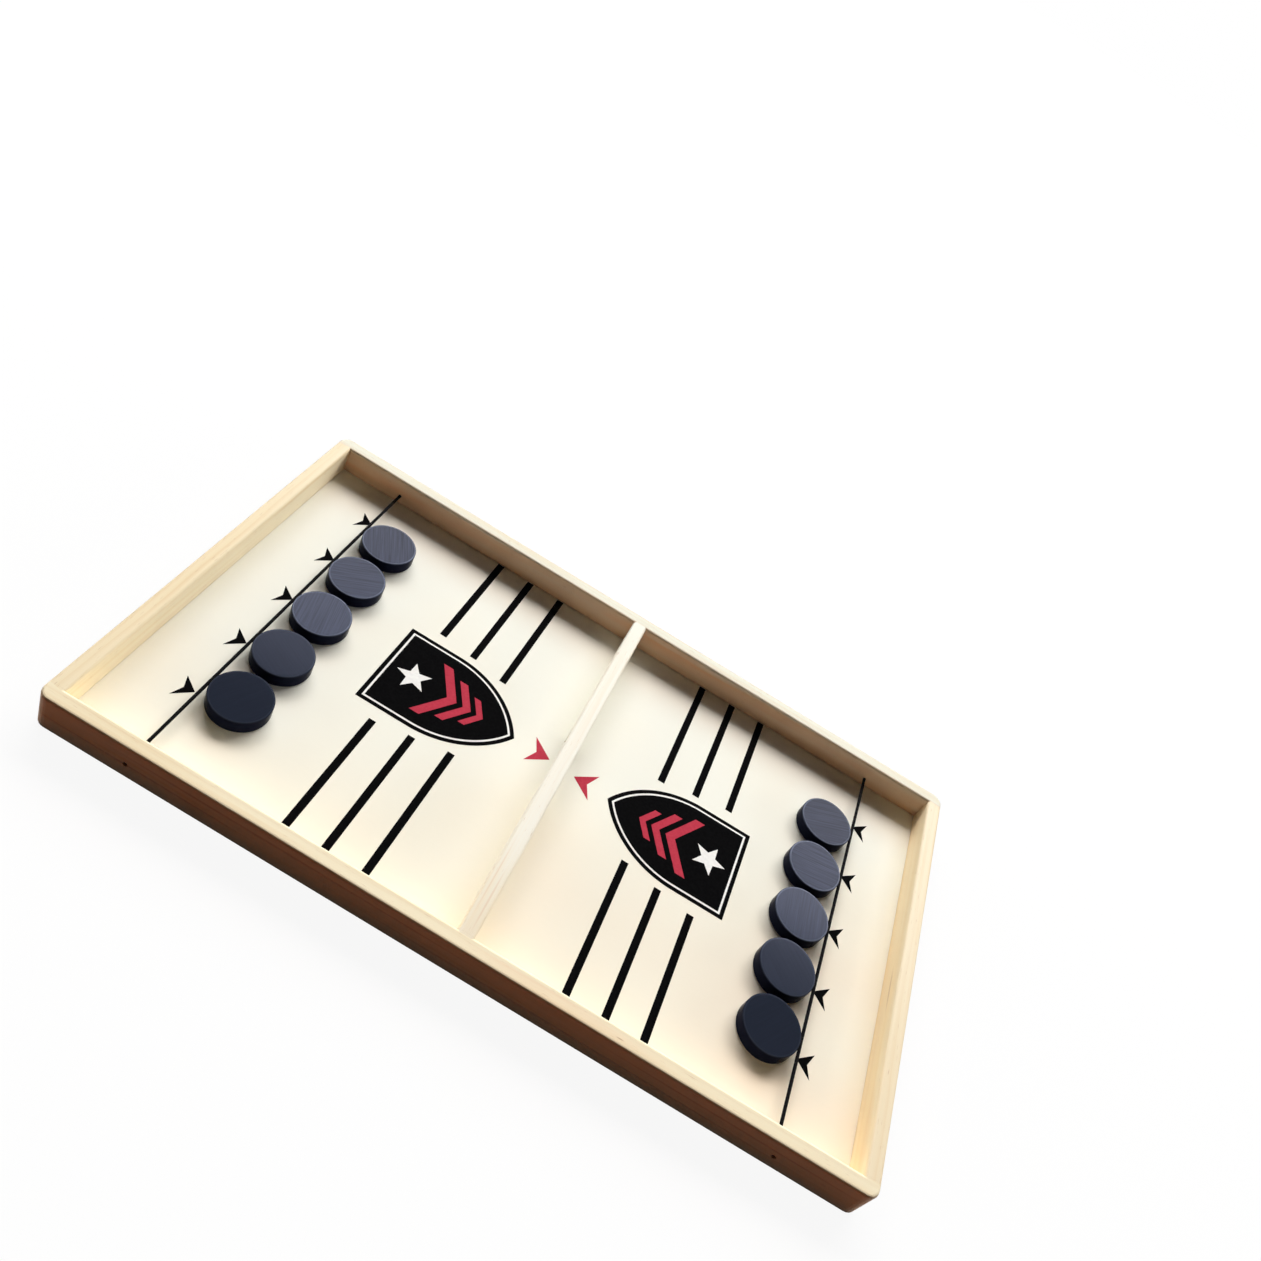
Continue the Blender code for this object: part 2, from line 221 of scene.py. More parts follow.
def planedPine(name, board, finish):
    made, tree, shader = newMaterial(name + "PlanedPine", {
        **finish["shader"], "Specular IOR Level": board["gloss"]})
    place = addNode(tree, "ShaderNodeTexCoord").outputs["Object"]

    def stretched(source, along, across):            # the board's millimetres squeezed to noise units
        return addNode(tree, "ShaderNodeVectorMath", {"operation": "MULTIPLY", 1: (along, across, across)},
                       {0: source})

    def tinted(share, colour, below):
        return addNode(tree, "ShaderNodeMix", {**colourMix, second: paint(finish[colour])},
                       {0: share, first: below}).outputs[mixed]

    # The board's own axes in mm: x along the grain, y and z across it, measured from the pith
    turn = Vector([math.radians(angle) for angle in (board["tilt"][0], board["tilt"][1], -board["turn"])])
    lengthwise = addNode(tree, "ShaderNodeMapping", {
        "Location": (0.0, -board["pith"][0], -board["pith"][1]), "Rotation": turn,
        "Scale": (1 / mm, 1 / mm, 1 / mm)}, {"Vector": place})
    wander = addNode(tree, "ShaderNodeTexNoise", {"Scale": 1.0, "Detail": 2.0},
                     {"Vector": stretched(lengthwise, *finish["wanderPerMm"])})
    fromPith = addNode(tree, "ShaderNodeVectorMath", {"operation": "LENGTH"},
                       {0: stretched(lengthwise, 0.0, 1.0)})
    age = addNode(tree, "ShaderNodeMath", {"operation": "MULTIPLY_ADD", 1: finish["wander"]},
                  {0: wander.outputs["Fac"], 2: fromPith.outputs["Value"]})
    rings = addNode(tree, "ShaderNodeMath", {"operation": "DIVIDE", 1: finish["ring"]}, {0: age})
    season = addNode(tree, "ShaderNodeMath", {"operation": "FRACT"}, {0: rings})
    lateness = addNode(tree, "ShaderNodeValToRGB", {"stops": [
        (0.0, 0.15), (0.45, 0.0), (0.75, 0.5), (0.9, 1.0), (1.0, 0.15)]}, {"Fac": season})

    # Fibres and soft figure: long thin and long broad noise
    fibres = addNode(tree, "ShaderNodeTexNoise", {"Scale": 1.0, "Detail": 3.0, "Roughness": 0.6},
                     {"Vector": stretched(lengthwise, 1 / finish["fibreLength"], 1 / finish["fibre"])})
    figure = addNode(tree, "ShaderNodeTexNoise", {"Scale": 1.0, "Detail": 1.0},
                     {"Vector": stretched(lengthwise, 1 / finish["figureLength"], 1 / finish["figureWidth"])})
    colour = addNode(tree, "ShaderNodeRGB").outputs["Color"]
    colour.default_value = paint(board["early"])
    soft = addNode(tree, "ShaderNodeMapRange", {
        "interpolation_type": "SMOOTHSTEP", "From Min": 0.45, "From Max": 0.75, "To Max": board["figure"]},
        {"Value": figure.outputs["Fac"]})
    colour = tinted(soft, "figure", colour)
    thin = addNode(tree, "ShaderNodeMapRange", {"From Min": 0.4, "From Max": 0.8, "To Max": 0.15},
                   {"Value": fibres.outputs["Fac"]})
    colour = tinted(thin, "figure", colour)
    lineShare = addNode(tree, "ShaderNodeMath", {"operation": "MULTIPLY", 1: board["lines"]}, {0: lateness})
    colour = tinted(lineShare, "lateWoodAndShade", colour)

    # Streaks and small marks at their own places, with the late wood's lines showing inside them
    lined = addNode(tree, "ShaderNodeMapRange", {"To Min": 0.7, "To Max": 1.15}, {"Value": lateness})
    for middle, half, strength, shade in board["streaks"]:
        centred = addNode(tree, "ShaderNodeMapping", {
            "vector_type": "TEXTURE", "Location": [value * mm for value in middle],
            "Scale": [value * mm for value in half]}, {"Vector": place})
        away = addNode(tree, "ShaderNodeVectorMath", {"operation": "LENGTH"}, {0: centred})
        inside = addNode(tree, "ShaderNodeMapRange", {
            "interpolation_type": "SMOOTHSTEP", "From Min": 1.0, "From Max": 0.25,
            "To Min": 0.0, "To Max": strength}, {"Value": away.outputs["Value"]})
        share = addNode(tree, "ShaderNodeMath", {"operation": "MULTIPLY", "use_clamp": True},
                        {0: inside, 1: lined})
        colour = tinted(share, shade, colour)

    # Short resin flecks
    fleckNoise = addNode(tree, "ShaderNodeTexNoise", {"Scale": 1.0, "Detail": 0.0},
                         {"Vector": stretched(lengthwise, *finish["flecksPerMm"])})
    flecks = addNode(tree, "ShaderNodeMapRange", {"From Min": 0.76, "From Max": 0.84, "To Max": 0.35},
                     {"Value": fleckNoise.outputs["Fac"]})
    tree.links.new(tinted(flecks, "fleck", colour), shader.inputs["Base Color"])

    relief = addNode(tree, "ShaderNodeMath", {"operation": "MULTIPLY_ADD", 1: finish["lateRelief"]},
                     {0: lateness, 2: fibres.outputs["Fac"]})
    depth, height = finish["relief"]
    bump = addNode(tree, "ShaderNodeBump", {"Strength": depth, "Distance": height * mm}, {"Height": relief})
    tree.links.new(bump.outputs["Normal"], shader.inputs["Normal"])
    return made


def dressNode(name, finish):
    slots = frame["nodes"][name].data.materials
    slots.clear()
    slots.append(finish)
    return frame["nodes"][name]


# New pieces: a mesh becomes a piece that rides on a body and takes its finish from a slot
def addPiece(name, shape, finish, body=None, smoothUnder=None):
    if isinstance(shape, bmesh.types.BMesh):
        mesh = bpy.data.meshes.new(name)
        shape.to_mesh(mesh)
        shape.free()
    else:
        mesh = shape
        mesh.name = name
    mesh.materials.clear()
    mesh.materials.append(finish)
    if smoothUnder:
        mesh.shade_smooth()
        mesh.set_sharp_from_angle(angle=math.radians(smoothUnder))
    piece = bpy.data.objects.new(name, mesh)
    bpy.context.scene.collection.objects.link(piece)
    if body:
        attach(piece, body)
    return piece


# Glue lines: glue and sanding dust fill each joint flush, so that the bars run into each other without a slit
# (mm). Each has the bar's own end profile, a hair inside its faces, and starts inside the bar. At a long rail
# it reaches on past the clearance, until the rail's rounded edge is filled too, and at the foot it ends on
# the board.
glueFinish = {
    "bars": {"end_rail_left": ("near", "far"), "end_rail_right": ("near", "far"),
             "divider": ("near", "far", "foot")},
    "reach": 1.1,                # past a long rail's inner face
    "start": 0.2,                # before the bar's end
    "inside": 0.02,              # under the bar's faces
    "weld": 0.001,               # points nearer to each other than this are one
    "level": 0.01,               # a face this near to the bar's end, all over, belongs to it
}


def glueLine(nodeName, where, setup, finish):
    low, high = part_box(nodeName)
    axis, end = {"near": (1, low.y), "far": (1, high.y), "foot": (2, low.z)}[where]
    step = Vector()
    if where == "foot":
        step.z = floorTop - end
    else:
        step.y = math.copysign(innerHalfWidth - abs(end) + setup["reach"] * mm, end)
    shape = bmesh.new()
    shape.from_mesh(frame["nodes"][nodeName].data)
    shape.transform(frame["nodes"][nodeName].matrix_world)
    bmesh.ops.remove_doubles(shape, verts=shape.verts, dist=setup["weld"] * mm)
    elsewhere = [face for face in shape.faces
                 if any(abs(vert.co[axis] - end) > setup["level"] * mm for vert in face.verts)]
    bmesh.ops.delete(shape, geom=elsewhere, context="FACES")
    faces, rims = list(shape.faces), [edge for edge in shape.edges if len(edge.link_faces) == 1]
    middle, extent = (low + high) / 2, high - low
    for vert in shape.verts:
        for i in range(3):
            if i != axis:
                vert.co[i] = middle[i] + (vert.co[i] - middle[i]) * (1 - 2 * setup["inside"] * mm / extent[i])
    twins = {vert: shape.verts.new(vert.co + step) for vert in list(shape.verts)}
    for vert in twins:
        vert.co -= step.normalized() * setup["start"] * mm
    for face in faces:
        shape.faces.new([twins[vert] for vert in face.verts])
    for edge in rims:
        a, b = edge.verts
        shape.faces.new((a, b, twins[b], twins[a]))
    bmesh.ops.recalc_face_normals(shape, faces=shape.faces)
    addPiece(f"glue_line_{nodeName}_{where}", shape, finish, "tray")


for railName, board in boards.items():
    pine = planedPine(railName, board, pineFinish)
    dressNode(railName, pine)
    for where in glueFinish["bars"].get(railName, ()):
        glueLine(railName, where, glueFinish, pine)
print("rails and divider finished")


# Printed board: a smooth ivory lacquer on top with faint clouds, drawn paler towards the far left and warmer
# towards the near right corner as a painted sheen; bare pale plywood underneath. It gives the eye a clean,
# slightly uneven ground for the print.
panelFinish = {
    "ivory": "#fdfcf0",
    "cream": "#fdf7e6",
    "warm": "#fdf0dc",
    "bare": "#d9bd8f",
    "bareDark": "#c19f6c",
    "shader": {"Roughness": 0.5, "Specular IOR Level": 0.06},
    "cloud": 90.0,               # mm across one cloud
    "tooth": 0.5,                # mm across one speck of the sprayed lacquer
    "paintedSheenWay": (1.0, -3.6, 0.0),  # the way in which it gets warmer
    "warmth": 0.9,               # how fast it does
    "grainPerMm": (0.025, 1.5),  # the plywood's, along the board and across it
    "veil": 0.03,                # the plywood's share in the colour of the top
    "skin": 0.1,                 # mm under the top that still count as lacquered
    "relief": (0.06, 0.05),      # strength, and height in mm
}


def printedBoard(finish):
    made, tree, shader = newMaterial("ivoryLacqueredPlywood", finish["shader"])
    place = addNode(tree, "ShaderNodeTexCoord").outputs["Object"]
    parts = addNode(tree, "ShaderNodeSeparateXYZ", None, {"Vector": place})
    clouds = addNode(tree, "ShaderNodeTexNoise", {"Scale": 1 / (finish["cloud"] * mm), "Detail": 1.5},
                     {"Vector": place})
    # painted sheen: paler towards the far left, fading to warmer towards the near right corner, over the
    # clouds
    towards = addNode(tree, "ShaderNodeVectorMath", {"operation": "DOT_PRODUCT", 1: finish["paintedSheenWay"]},
                      {0: place})
    warmth = addNode(tree, "ShaderNodeMath", {"operation": "MULTIPLY_ADD", 1: finish["warmth"]},
                     {0: towards.outputs["Value"], 2: clouds.outputs["Fac"]})
    ivory = addNode(tree, "ShaderNodeValToRGB", {"stops": [
        (0.35, finish["ivory"]), (0.7, finish["cream"]), (1.0, finish["warm"])]}, {"Fac": warmth})
    along, across = finish["grainPerMm"]
    stretched = addNode(tree, "ShaderNodeMapping", {"Scale": (along / mm, across / mm, across / mm)},
                        {"Vector": place})
    grain = addNode(tree, "ShaderNodeTexNoise", {"Scale": 1.0, "Detail": 3.0}, {"Vector": stretched})
    bare = addNode(tree, "ShaderNodeValToRGB", {"stops": [(0.35, finish["bare"]), (0.7, finish["bareDark"])]},
                   {"Fac": grain.outputs["Fac"]})
    isTop = addNode(tree, "ShaderNodeMath", {"operation": "GREATER_THAN", 1: floorTop - finish["skin"] * mm},
                    {0: parts.outputs["Z"]})
    veiled = addNode(tree, "ShaderNodeMix", {**colourMix, 0: finish["veil"]}, {first: ivory, second: bare})
    colour = addNode(tree, "ShaderNodeMix", colourMix, {0: isTop, first: bare, second: veiled.outputs[mixed]})
    tree.links.new(colour.outputs[mixed], shader.inputs["Base Color"])
    tooth = addNode(tree, "ShaderNodeTexNoise", {"Scale": 1 / (finish["tooth"] * mm), "Detail": 1.0},
                    {"Vector": place})
    depth, height = finish["relief"]
    bump = addNode(tree, "ShaderNodeBump", {"Strength": depth, "Distance": height * mm},
                   {"Height": tooth.outputs["Fac"]})
    tree.links.new(bump.outputs["Normal"], shader.inputs["Normal"])
    return made


dressNode("floor_panel", printedBoard(panelFinish))


# Drawn steel wire of the panel pins, with fine wear. It gives the eye a small hard glint on the underside.
wireFinish = {
    "steel": "#b9b9bb",
    "shader": {"Metallic": 1.0, "Roughness": 0.34},
    "wear": 0.4,                 # mm across one worn spot
    "relief": (0.25, 0.04),      # strength, and height in mm
}


def drawnSteel(finish):
    made, tree, shader = newMaterial("drawnSteelWire", {
        **finish["shader"], "Base Color": paint(finish["steel"])})
    place = addNode(tree, "ShaderNodeTexCoord").outputs["Object"]
    wear = addNode(tree, "ShaderNodeTexNoise", {"Scale": 1 / (finish["wear"] * mm), "Detail": 2.0},
                   {"Vector": place})
    depth, height = finish["relief"]
    bump = addNode(tree, "ShaderNodeBump", {"Strength": depth, "Distance": height * mm},
                   {"Height": wear.outputs["Fac"]})
    tree.links.new(bump.outputs["Normal"], shader.inputs["Normal"])
    return made


steel = drawnSteel(wireFinish)
for nodeName in sorted(frame["nodes"]):
    if nodeName.startswith("panel_pin"):
        dressNode(nodeName, steel)
print("floor panel and pins finished")


# Screen printing ink: thin flat films with a faint mottle. It gives the eye matt shapes with crisp edges.
inkFinish = {
    "film": 0.05,                # mm, the thickness of one layer
    "sunk": 0.01,                # mm by which a film reaches into what it lies on
    "black": ("#060607", "#0c0c0d"),
    "red": ("#c03c4e", "#c84354"),
    "white": ("#f6f4f0", "#fffdf8"),
    "shader": {"Roughness": 0.6, "Specular IOR Level": 0.006},
    "mottle": 1.2,               # mm across one spot
    "relief": (0.08, 0.03),      # strength, and height in mm
}


def screenInk(name, finish):
    made, tree, shader = newMaterial(name + "ScreenInk", finish["shader"])
    place = addNode(tree, "ShaderNodeTexCoord").outputs["Object"]
    speckle = addNode(tree, "ShaderNodeTexNoise", {"Scale": 1 / (finish["mottle"] * mm), "Detail": 3.0},
                      {"Vector": place})
    colour, mottled = finish[name]
    tone = addNode(tree, "ShaderNodeValToRGB", {"stops": [(0.35, colour), (0.7, mottled)]},
                   {"Fac": speckle.outputs["Fac"]})
    tree.links.new(tone.outputs["Color"], shader.inputs["Base Color"])
    depth, height = finish["relief"]
    bump = addNode(tree, "ShaderNodeBump", {"Strength": depth, "Distance": height * mm},
                   {"Height": speckle.outputs["Fac"]})
    tree.links.new(bump.outputs["Normal"], shader.inputs["Normal"])
    return made


blackInk = screenInk("black", inkFinish)
redInk = screenInk("red", inkFinish)
whiteInk = screenInk("white", inkFinish)


# One flat film of ink on the floor, or on the films under it; its outline is in mm
def addFilm(shape, outline, layer=0):
    low = floorTop + (layer * inkFinish["film"] - inkFinish["sunk"]) * mm
    high = floorTop + (layer + 1) * inkFinish["film"] * mm
    lower = [shape.verts.new((x * mm, y * mm, low)) for x, y in outline]
    upper = [shape.verts.new((x * mm, y * mm, high)) for x, y in outline]
    faces = [shape.faces.new(upper), shape.faces.new(lower)]
    for i in range(len(outline)):
        j = (i + 1) % len(outline)
        faces.append(shape.faces.new((lower[i], lower[j], upper[j], upper[i])))
    bmesh.ops.recalc_face_normals(shape, faces=faces)


# Bands across each half: three lines from rail to rail, broken where the emblem stands (mm). The left half's
# print leans a little. Each band: its middle at the tray's axis, and its two inner ends.
bands = {
    "width": 3.5,
    "reach": 102.7,
    "left": {"lean": 0.016, "lines": [(-78.95, 37.0, -28.4), (-61.2, 34.5, -25.1), (-43.2, 30.9, -21.6)]},
    "right": {"lean": -0.0017, "lines": [(80.11, 35.7, -29.5), (62.72, 32.8, -26.5), (44.98, 29.3, -22.9)]},
}


def printBands(side):
    shape = bmesh.new()
    half, lean = bands["width"] / 2, bands[side]["lean"]
    for x, farEnd, nearEnd in bands[side]["lines"]:
        for low, high in ((farEnd, bands["reach"]), (-bands["reach"], nearEnd)):
            corners = [(-half, low), (half, low), (half, high), (-half, high)]
            addFilm(shape, [(x + across + lean * y, y) for across, y in corners])
    addPiece("print_bands_" + side, shape, blackInk, "tray")


for side in ("left", "right"):
    printBands(side)


# Arrowheads: a tip, two swept wings and a notch between them (mm, the tip at the origin, pointing to +X)
arrowheads = {
    "count": 5,
    "rows": {"left": {"length": 7.1, "halfSpan": 6.1, "notch": 4.85, "middle": (-141.96, 6.9),
                      "step": (0.425, 35.2), "skew": 0.134, "facing": 1},
             "right": {"length": 7.35, "halfSpan": 5.95, "notch": 5.0, "middle": (141.86, 3.6),
                       "step": (0.0, 33.95), "skew": 0.0, "facing": -1}},
    "large": {"length": 10.4, "halfSpan": 7.9, "notch": 6.9},
    "gate": {"left": (-5.34, 4.78, 1), "right": (7.92, 3.75, -1)},     # tip x, tip y, facing
}


def arrowOutline(size, facing, skew=0.0):
    corners = [(0.0, 0.0), (-size["length"], size["halfSpan"]), (-size["notch"], 0.0),
               (-size["length"], -size["halfSpan"])]
    return [(facing * x, y + skew * x) for x, y in corners]


def rowTree():
    tree = bpy.data.node_groups.new("rowOfArrowheads", "GeometryNodeTree")
    for name, kind, way in (("Arrowhead", "NodeSocketGeometry", "INPUT"), ("Count", "NodeSocketInt", "INPUT"),
                            ("Step", "NodeSocketVector", "INPUT"), ("Start", "NodeSocketVector", "INPUT"),
                            ("Ink", "NodeSocketMaterial", "INPUT"), ("Row", "NodeSocketGeometry", "OUTPUT")):
        tree.interface.new_socket(name, in_out=way, socket_type=kind)
    inputs = addNode(tree, "NodeGroupInput")
    line = addNode(tree, "GeometryNodeMeshLine", {"mode": "OFFSET"}, {
        "Count": inputs.outputs["Count"], "Start Location": inputs.outputs["Start"],
        "Offset": inputs.outputs["Step"]})
    placed = addNode(tree, "GeometryNodeInstanceOnPoints", None, {
        "Points": line, "Instance": inputs.outputs["Arrowhead"]})
    real = addNode(tree, "GeometryNodeRealizeInstances", None, {"Geometry": placed})
    inked = addNode(tree, "GeometryNodeSetMaterial", None, {
        "Geometry": real, "Material": inputs.outputs["Ink"]})
    addNode(tree, "NodeGroupOutput", None, {"Row": inked})
    return tree


def applyTree(name, mesh, tree, values):
    maker = bpy.data.objects.new(name + "Maker", mesh)
    bpy.context.scene.collection.objects.link(maker)
    modifier = maker.modifiers.new(name, "NODES")
    modifier.node_group = tree
    for item in tree.interface.items_tree:
        if item.item_type == "SOCKET" and item.in_out == "INPUT" and item.name in values:
            modifier[item.identifier] = values[item.name]
    evaluated = maker.evaluated_get(bpy.context.evaluated_depsgraph_get())
    made = bpy.data.meshes.new_from_object(evaluated)
    maker.modifiers.remove(modifier)
    bpy.data.objects.remove(maker)
    return made


arrowRow = rowTree()
for side, row in arrowheads["rows"].items():
    shape = bmesh.new()
    addFilm(shape, arrowOutline(row, row["facing"], row["skew"]))
    head = bpy.data.meshes.new("arrowhead")
    shape.to_mesh(head)
    shape.free()
    before = (arrowheads["count"] - 1) / 2
    start = [(middle - before * step) * mm for middle, step in zip(row["middle"], row["step"])]
    made = applyTree("row", head, arrowRow, {
        "Count": arrowheads["count"], "Step": (row["step"][0] * mm, row["step"][1] * mm, 0.0),
        "Start": (*start, 0.0), "Ink": blackInk})
    addPiece("print_arrowheads_" + side, made, blackInk, "tray")

    tipX, tipY, facing = arrowheads["gate"][side]
    shape = bmesh.new()
    addFilm(shape, [(tipX + x, tipY + y) for x, y in arrowOutline(arrowheads["large"], facing)])
    addPiece("print_gate_arrowhead_" + side, shape, redInk, "tray")
print("bands and arrowheads printed")


# Emblem: a plain heater shield in three inks, its flat side outwards and its point towards the divider (mm; u
# runs from the flat side to the point, v across). Its sides are straight up to the shoulder and then follow
# one arc each to the point.
shield = {
    "length": 68.0,
    "halfWidth": 26.0,
    "shoulder": 26.0,
    "steps": 40,                 # on each arc
    "line": (2.0, 3.0),          # the white line's two distances from the edge
    "chevrons": [(27.0, 17.0, 5.0), (37.0, 13.0, 4.2), (46.0, 8.8, 3.4)],   # u of the arms, reach, thickness
    "chevronRise": 0.62,         # how far a chevron's tip stands ahead, as a share of its reach
    "star": (15.0, 8.6, 3.6),    # u of the middle, outer radius, inner radius
    "starPoints": 5,
    "places": {"left": (-92.0, 4.7, 1), "right": (94.0, 3.0, -1)},   # flat side's x, middle y, facing
}


def shieldOutline(inset):
    run = shield["length"] - shield["shoulder"]
    radius = (run ** 2 + shield["halfWidth"] ** 2) / (2 * shield["halfWidth"])
    centre = shield["halfWidth"] - radius
    reach = radius - inset
    last = math.asin(-centre / reach)                # the arc's angle at the point
    side = [(inset, shield["halfWidth"] - inset)]
    for i in range(shield["steps"] + 1):
        angle = math.pi / 2 + (last - math.pi / 2) * i / shield["steps"]
        side.append((shield["shoulder"] + reach * math.cos(angle), centre + reach * math.sin(angle)))
    side[-1] = (side[-1][0], 0.0)
    return side + [(u, -v) for u, v in reversed(side[:-1])]


def printShield(side):
    startX, middleY, facing = shield["places"][side]
    lean = bands[side]["lean"]

    def printed(name, ink, outlines, layer):
        shape = bmesh.new()
        for points in outlines:
            outline = [(startX + facing * (u + lean * v), middleY + facing * v) for u, v in points]
            addFilm(shape, outline, layer)
        addPiece(f"print_{name}_{side}", shape, ink, "tray")

    printed("shield", blackInk, [shieldOutline(0.0)], 0)
    printed("shield_line", whiteInk, [shieldOutline(shield["line"][0])], 1)
    printed("shield_field", blackInk, [shieldOutline(shield["line"][1])], 2)
    chevrons = []
    for start, arm, thick in shield["chevrons"]:
        tip = start + arm * shield["chevronRise"]
        chevrons.append([(tip, 0.0), (start, arm), (start - thick, arm), (tip - thick, 0.0),
                         (start - thick, -arm), (start, -arm)])
    printed("shield_chevrons", redInk, chevrons, 3)
    middle, outer, inner = shield["star"]
    star = []
    for i in range(2 * shield["starPoints"]):
        radius, angle = (inner if i % 2 else outer), math.pi + i * math.pi / shield["starPoints"]
        star.append((middle + radius * math.cos(angle), radius * math.sin(angle)))
    printed("shield_star", whiteInk, [star], 3)


for side in shield["places"]:
    printShield(side)
print("emblems printed")


# Pucks: turned beech under thin blue-black lacquer. It gives the eye a sheen on the flat faces and a dull
# side, which is drawn darker as painted shade. The saw's parallel streaks show through it on some faces,
# where the
# upper rim is drawn paler too: a painted highlight.
puckFinish = {
    "base": "#232834",
    "streak": "#30374a",
    # the side's colour, darker than the faces': painted shade
    "side": "#151828",
    "paintedRimHighlight": "#7a8296",
    "shader": {"Specular Tint": (0.5, 0.62, 1.0, 1.0)},
    "gloss": (0.01, 0.14),       # specular level round the side and on a fully polished face
    "roughness": (0.14, 0.17),   # between the streaks and on them
    "streakWidth": 0.8,          # mm, drawn coarser than life so that it shows
    "streakLength": 25.0,        # mm
    "relief": (0.05, 0.04),      # strength, and height in mm
    "rim": 0.5,                  # mm, radius of the rounded rim
    "rimSteps": 8,
    "rimHighlightShare": 0.7,          # how much of the painted highlight's paler colour the upper rim takes at most
    "rimHighlightRims": 2.0,           # rim radii from the edge to where the painted highlight ends
    "ringShare": 0.5,            # of the radius, for the ring between the middle and the rim
    "sides": 96,
    "shades": ("worn", "sawn", "flat", "polish"),    # the mesh's attributes that the lacquer reads
    "grainShift": (7.0, 3.0),    # mm per degree of the grain's way
    # the grain's way on each puck in degrees, how much of the sawing shows, and how polished its faces are:
    # left 1 to 5, right 1 to 5
    "sawing": [(118, 1.0, 0.41), (33, 0.9, 0.52), (103, 0.8, 0.73), (152, 0.15, 0.47), (66, 0.1, 0.06),
               (24, 0.8, 0.42), (8, 1.0, 0.57), (94, 0.7, 1.0), (137, 0.15, 1.0), (55, 0.1, 0.06)],
}


def satinLacquer(finish):
    made, tree, shader = newMaterial("satinLacqueredBeech", finish["shader"])
    unwrapped = addNode(tree, "ShaderNodeTexCoord").outputs["UV"]
    stretched = addNode(tree, "ShaderNodeMapping", {
        "Scale": (1 / finish["streakLength"], 1 / finish["streakWidth"], 1.0)}, {"Vector": unwrapped})
    streaks = addNode(tree, "ShaderNodeTexNoise", {"Scale": 1.0, "Detail": 2.5, "Roughness": 0.55},
                      {"Vector": stretched})
    worn, sawn, flat, polish = [addNode(tree, "ShaderNodeAttribute", {"attribute_name": name}).outputs["Fac"]
                                for name in finish["shades"]]
    shown = addNode(tree, "ShaderNodeMapRange", {"From Min": 0.35, "From Max": 0.7},
                    {"Value": streaks.outputs["Fac"], "To Max": sawn})
    tone = addNode(tree, "ShaderNodeMix", {**colourMix, first: paint(finish["base"]),
                                           second: paint(finish["streak"])}, {0: shown})
    # painted shade: where the mesh is not flat, the side takes the darker side colour
    faced = addNode(tree, "ShaderNodeMix", {**colourMix, first: paint(finish["side"])},
                    {0: flat, second: tone.outputs[mixed]})
    # painted highlight: the upper rim drawn paler
    paintedRimHighlight = addNode(tree, "ShaderNodeMath", {"operation": "MULTIPLY", 1: finish["rimHighlightShare"]}, {0: worn})
    colour = addNode(tree, "ShaderNodeMix", {**colourMix, second: paint(finish["paintedRimHighlight"])},
                     {0: paintedRimHighlight, first: faced.outputs[mixed]})
    tree.links.new(colour.outputs[mixed], shader.inputs["Base Color"])

    # The streaks shine a little more than the lacquer between them
    dimmest, brightest = finish["gloss"]
    shine = addNode(tree, "ShaderNodeMapRange", {"To Min": dimmest, "To Max": brightest}, {"Value": polish})
    varied = addNode(tree, "ShaderNodeMapRange", {"To Min": 0.88, "To Max": 1.3}, {"Value": shown})
    gloss = addNode(tree, "ShaderNodeMath", {"operation": "MULTIPLY"}, {0: shine, 1: varied})
    tree.links.new(gloss.outputs["Value"], shader.inputs["Specular IOR Level"])
    smooth, dull = finish["roughness"]
    blur = addNode(tree, "ShaderNodeMapRange", {
        "From Min": 0.3, "From Max": 0.7, "To Min": smooth, "To Max": dull},
        {"Value": streaks.outputs["Fac"]})
    tree.links.new(blur.outputs["Result"], shader.inputs["Roughness"])
    depth, height = finish["relief"]
    bump = addNode(tree, "ShaderNodeBump", {"Strength": depth, "Distance": height * mm}, {"Height": shown})
    tree.links.new(bump.outputs["Normal"], shader.inputs["Normal"])
    return made


